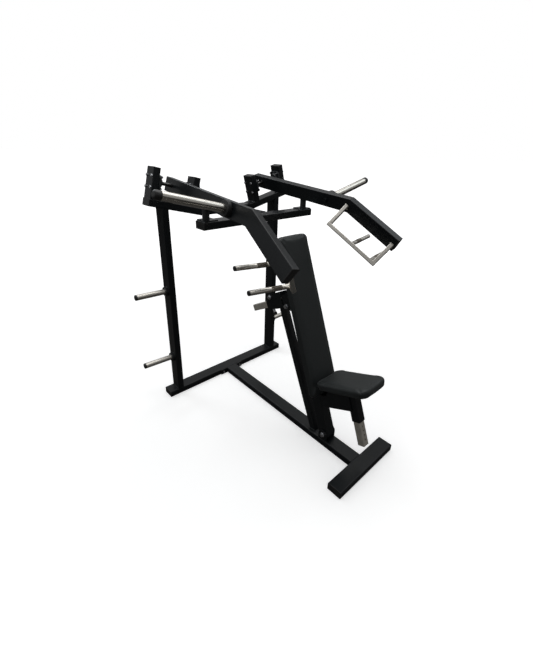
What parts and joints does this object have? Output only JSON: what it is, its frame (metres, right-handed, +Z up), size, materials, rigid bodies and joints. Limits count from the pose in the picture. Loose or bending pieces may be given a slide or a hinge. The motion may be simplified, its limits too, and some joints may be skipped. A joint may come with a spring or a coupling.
{
  "type": "chest press machine",
  "caption": "Plate-loaded chest press machine with two independent swinging press arms, weight horns, framed grips, an adjustable reclined backrest and a sliding seat.",
  "frame": {"origin": "centre of the rear cross beam's underside, on the floor", "axes": "+Z up; +X to the user's left; the user faces -Y, towards the front foot"},
  "size_m": [1.7742, 1.6446, 1.8204],
  "materials": {
    "black_powder_coat": "semi-gloss black powder coat",
    "black_plastic": "satin moulded",
    "zinc_plate": "bright zinc plate",
    "pin_steel": "dark handled steel and knob",
    "bearing_iron": "painted casting",
    "black_rubber": "matte",
    "stainless": "fine brushed",
    "bare_steel": "bare satin",
    "axle_steel": "ground",
    "pad_board": "black faced plywood",
    "pad_vinyl": "grained vinyl"
  },
  "bodies": {
    "frame": {"rear_cross_beam": "black_powder_coat", "central_beam": "black_powder_coat", "front_foot": "black_powder_coat", "beam_flange_plate": "black_powder_coat", "flange_bolts": "zinc_plate", "left_upright": "black_powder_coat", "right_upright": "black_powder_coat", "left_top_beam": "black_powder_coat", "right_top_beam": "black_powder_coat", "outer_pivot_posts": "black_powder_coat", "inner_pivot_posts": "black_powder_coat", "flange_bearings": "bearing_iron", "bearing_bolts": "zinc_plate", "cross_tie": "black_powder_coat", "stop_beam_carriers": "black_powder_coat", "stop_beam": "black_powder_coat", "bumper_plates": "black_powder_coat", "bumpers": "black_rubber", "storage_horns": "stainless", "storage_collars": "black_powder_coat", "storage_caps": "black_plastic", "tube_plugs": "black_plastic", "rear_stay": "black_powder_coat", "adjuster_cradle": "black_powder_coat", "cradle_bolt": "zinc_plate", "pivot_clevis": "black_powder_coat", "pivot_bolt": "zinc_plate"},
    "left_press_arm": {"left_arm": "black_powder_coat", "left_arm_caps": "black_plastic", "left_axle": "axle_steel", "left_weight_horn": "stainless", "left_horn_collar": "black_rubber", "left_horn_bolt": "black_powder_coat", "left_handle_frame": "stainless", "left_grips": "stainless", "left_grip_plugs": "black_plastic"},
    "right_press_arm": {"right_arm": "black_powder_coat", "right_arm_caps": "black_plastic", "right_axle": "axle_steel", "right_weight_horn": "stainless", "right_horn_collar": "black_rubber", "right_horn_bolt": "black_powder_coat", "right_handle_frame": "stainless", "right_grips": "stainless", "right_grip_plugs": "black_plastic"},
    "bench": {"backrest_post": "black_powder_coat", "bar_bolt": "zinc_plate", "backrest_board": "pad_board", "backrest_pad": "pad_vinyl", "seat_straps": "black_powder_coat", "seat_sleeve": "black_powder_coat", "seat_pin_housing": "zinc_plate"},
    "seat": {"seat_tube": "bare_steel", "seat_board": "pad_board", "seat_pad": "pad_vinyl"},
    "seat_lock": {"seat_pin": "pin_steel"},
    "back_bar": {"adjusting_bar": "bare_steel"},
    "bar_sleeve": {"adjuster_sleeve": "black_powder_coat", "adjuster_pin_housing": "zinc_plate"},
    "bar_lock": {"adjuster_pin": "pin_steel"}
  },
  "joints": [
    {"name": "left_arm_swing", "type": "hinge", "parent": "frame", "child": "left_press_arm", "pos_m": [0.41412, 0, 1.68492], "axis": [-0.9703, 0, -0.2419], "range_deg": [0, 55]},
    {"name": "right_arm_swing", "type": "hinge", "parent": "frame", "child": "right_press_arm", "pos_m": [-0.41412, 0, 1.68492], "axis": [-0.9703, 0, 0.2419], "range_deg": [0, 55]},
    {"name": "bench_tilt", "type": "hinge", "parent": "frame", "child": "bench", "pos_m": [0, -1.2, 0.095], "axis": [1, 0, 0], "range_deg": [0, 11]},
    {"name": "seat_slide", "type": "slide", "parent": "bench", "child": "seat", "axis": [0, 0.3584, 0.9336], "range_m": [0, 0.15]},
    {"name": "seat_pin_pull", "type": "slide", "parent": "bench", "child": "seat_lock", "axis": [0, 0.9336, -0.3584], "range_m": [0, 0.01], "stiffness_N_per_m": 600, "springref_m": -0.01},
    {"name": "bar_hinge", "type": "hinge", "parent": "bench", "child": "back_bar", "pos_m": [0, -0.77002, 0.92997], "axis": [1, 0, 0], "range_deg": [-9, 0]},
    {"name": "sleeve_swing", "type": "hinge", "parent": "frame", "child": "bar_sleeve", "pos_m": [0, -0.60009, 0.94495], "axis": [1, 0, 0], "range_deg": [0, 4]},
    {"name": "bar_pin_pull", "type": "slide", "parent": "bar_sleeve", "child": "bar_lock", "axis": [0, -0.4695, -0.8829], "range_m": [0, 0.01], "stiffness_N_per_m": 600, "springref_m": -0.01}
  ],
  "couplings": [
    {"joint": "bar_hinge", "follows": "bench_tilt", "ratio": -0.6859},
    {"joint": "sleeve_swing", "follows": "bench_tilt", "ratio": 0.3141}
  ]
}
